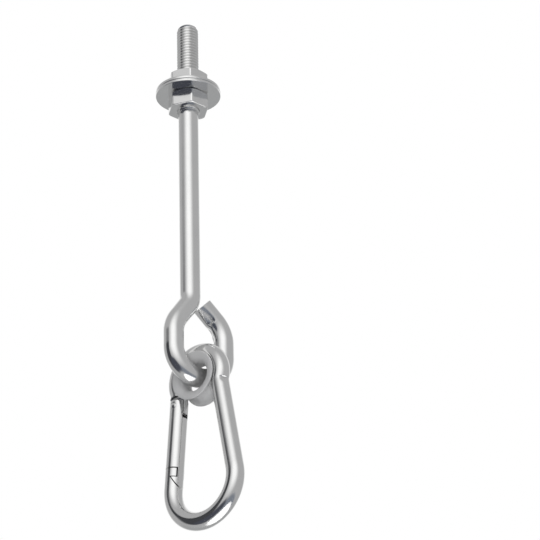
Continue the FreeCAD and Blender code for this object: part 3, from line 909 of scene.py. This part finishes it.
def make_floor():
    turns = [2 * math.pi * i / FLOOR_AROUND for i in range(FLOOR_AROUND)]
    rim = [FLOOR_MIDDLE + Vector((math.cos(a), math.sin(a), 0.0)) * FLOOR_RADIUS for a in turns]
    mesh = bpy.data.meshes.new("floor")
    mesh.from_pydata(rim, [], [tuple(range(FLOOR_AROUND))])
    material, tree, shader, add = new_material("pale_floor")
    shader.inputs["Base Color"].default_value = FLOOR_SHADE
    grained(material, tree, shader, add, FLOOR_ROUGH, FLOOR_GRAIN, FLOOR_GRAIN_HEIGHT, FLOOR_PATCHES)
    mesh.materials.append(material)
    floor = bpy.data.objects.new("floor", mesh)
    bpy.context.scene.collection.objects.link(floor)
    print("floor", round(-FLOOR_MIDDLE.z, 2), "m below the washers")


make_floor()

# %% [markdown]
# ## World nodes
# Polished metal shows its surroundings more than its own colour, so the world round the hook is a small
# studio. A picture of a studio could be wrapped round the scene. Soft panels worked out by nodes need no
# file, and each can be moved by its angles. This class makes the few kinds of node that the panels need.

# %% World nodes
# The sockets of a mix node that take its two colours, and the one that gives their mix
FIRST_COLOUR = 6
SECOND_COLOUR = 7
MIXED_COLOUR = 2


class StudioNodes:
    """A world's node tree, with a short call for each kind of node that the studio uses."""

    def __init__(self, name):
        world = bpy.data.worlds.new(name)
        bpy.context.scene.world = world
        world.use_nodes = True
        self.tree = world.node_tree
        self.place = self.add("ShaderNodeTexCoord")

    def add(self, kind, **values):
        node = self.tree.nodes.new(kind)
        for key, value in values.items():
            setattr(node, key, value)
        return node

    def feed(self, socket, value):
        """Set a socket to a plain value, or link it to another socket."""
        if isinstance(value, bpy.types.NodeSocket):
            self.tree.links.new(value, socket)
        else:
            socket.default_value = value

    def calc(self, operation, *values):
        node = self.add("ShaderNodeMath", operation=operation)
        for socket, value in zip(node.inputs, values):
            self.feed(socket, value)
        return node.outputs["Value"]

    def along(self, direction):
        """How much of the looking direction lies along another direction."""
        node = self.add("ShaderNodeVectorMath", operation="DOT_PRODUCT")
        self.feed(node.inputs[0], self.place.outputs["Generated"])
        self.feed(node.inputs[1], direction)
        return node.outputs["Value"]

    def share(self, value, low, high, **settings):
        """Where a value lies between two limits, as a share from 0 to 1."""
        node = self.add("ShaderNodeMapRange", **settings)
        self.feed(node.inputs["Value"], value)
        self.feed(node.inputs["From Min"], low)
        self.feed(node.inputs["From Max"], high)
        return node.outputs["Result"]

    def mix(self, share, first, second):
        node = self.add("ShaderNodeMix", data_type="RGBA")
        self.feed(node.inputs["Factor"], share)
        self.feed(node.inputs[FIRST_COLOUR], first)
        self.feed(node.inputs[SECOND_COLOUR], second)
        return node.outputs[MIXED_COLOUR]


studio = StudioNodes("studio")
print("world:", bpy.context.scene.world.name)

# %% [markdown]
# ## Studio panels
# Light and dark panels draw the stripes on the wires: a bright one in front and above, dark ones on the left,
# blue-black ones low in front, and grey between them. Each could be an emitting plane. In the world they
# never cast a shadow or hide the hook from a view, and their soft edges are one number.

# %% Studio panels
STUDIO_GREY = (0.47, 0.47, 0.475, 1.0)

# Each panel: its middle in degrees right of the camera and up, its half width and height, the power that
# rounds its corners (2 is an ellipse), its softness and its colour
STUDIO_PANELS = [
    ((-180.0, -28.0), (60.0, 24.0), 2.0, 0.50, (0.40, 0.405, 0.41, 1.0)),
    ((180.0, -28.0), (60.0, 24.0), 2.0, 0.50, (0.40, 0.405, 0.41, 1.0)),
    ((-73.0, 10.0), (19.0, 18.0), 6.0, 0.20, (0.045, 0.047, 0.052, 1.0)),
    ((-76.0, -18.0), (24.0, 36.0), 2.0, 0.18, (0.060, 0.062, 0.068, 1.0)),
    ((20.0, -42.0), (80.0, 15.0), 2.0, 0.40, (0.23, 0.25, 0.29, 1.0)),
    ((-52.0, -33.0), (42.0, 21.0), 2.0, 0.22, (0.070, 0.075, 0.095, 1.0)),
    ((-6.0, 22.0), (32.0, 29.0), 2.0, 0.75, (1.18, 1.18, 1.18, 1.0)),
]


def from_middle(angle, middle, half, power):
    """How far an angle lies from a panel's middle, in half widths, raised to a power."""
    steps = studio.share(angle, math.radians(middle), math.radians(middle + half), clamp=False)
    return studio.calc("POWER", studio.calc("ABSOLUTE", steps), power)


def panel_colours():
    """The grey studio with each panel laid over it in turn."""
    around = studio.calc("ARCTAN2", studio.along(RIGHT), studio.along(TOWARDS))
    rise = studio.calc("ARCSINE", studio.along(UP))
    colour = STUDIO_GREY
    for middle, half, power, soft, shade in STUDIO_PANELS:
        sideways = from_middle(around, middle[0], half[0], power)
        upwards = from_middle(rise, middle[1], half[1], power)
        reach = studio.calc("POWER", studio.calc("ADD", sideways, upwards), 1 / power)
        cover = studio.share(reach, 1 + soft, 1 - soft, interpolation_type="SMOOTHSTEP")
        colour = studio.mix(cover, colour, shade)
    return colour


studio_colour = panel_colours()
print("studio panels:", len(STUDIO_PANELS))

# %% [markdown]
# ## White backdrop
# Behind the hook the picture is plain white. A lit wall could give that, but its light would wash out the
# metal. The world is white for camera rays instead, and mirror and transmission rays see that white too
# where they go on straight behind the object. Elsewhere they meet the panels.

# %% White backdrop
BACKDROP_REACH = math.radians(50.0)


def show_backdrop(colour):
    """Choose between the white backdrop and the panels by the kind of ray and its direction."""
    panels = studio.tree.nodes["Background"]
    white = studio.add("ShaderNodeBackground")
    studio.feed(panels.inputs["Color"], colour)
    studio.feed(white.inputs["Color"], (1.0, 1.0, 1.0, 1.0))
    ray = studio.add("ShaderNodeLightPath").outputs
    mirrored = studio.calc("MAXIMUM", ray["Is Glossy Ray"], ray["Is Transmission Ray"])
    limit = math.cos(BACKDROP_REACH)
    behind = studio.share(studio.along(-BACK), limit, 1.0, interpolation_type="SMOOTHSTEP")
    seen = studio.calc("MAXIMUM", ray["Is Camera Ray"], studio.calc("MULTIPLY", mirrored, behind))
    choice = studio.add("ShaderNodeMixShader")
    studio.feed(choice.inputs["Fac"], seen)
    studio.feed(choice.inputs[1], panels.outputs["Background"])
    studio.feed(choice.inputs[2], white.outputs["Background"])
    studio.feed(studio.tree.nodes["World Output"].inputs["Surface"], choice.outputs["Shader"])


show_backdrop(studio_colour)
print("world nodes:", len(studio.tree.nodes))

# %% [markdown]
# ## Lamps
# Two soft lamps brighten the floor and the nylon. Metal would mirror them as hard spots, so both are hidden
# from mirror rays, and the wires show the panels alone.

# %% Lamps
KEY_PLACE = TOWARDS * -0.30 + UP * 1.2
FILL_PLACE = TOWARDS * 1.3 - RIGHT * 0.1 - UP * 0.75


def make_light(name, energy, size, place, aim):
    """A soft light that brightens the floor and the nylon; the metal mirrors the panels alone."""
    data = bpy.data.lights.new(name, "AREA")
    data.energy = energy
    data.size = size
    light = bpy.data.objects.new(name, data)
    light.location = place
    light.rotation_euler = (place - aim).to_track_quat("Z", "Y").to_euler()
    light.visible_glossy = False
    bpy.context.scene.collection.objects.link(light)
    print(f"{name}: {energy} W, {size} m wide")


make_light("key", energy=55.0, size=0.7, place=KEY_PLACE, aim=FLOOR_MIDDLE)
make_light("fill", energy=8.0, size=0.8, place=FILL_PLACE, aim=AXIS * MM)
bpy.context.scene.view_settings.view_transform = "Standard"

# %% [markdown]
# ## Finish
# The last line brings the view layer up to date.

# %% Finish
bpy.context.view_layer.update()
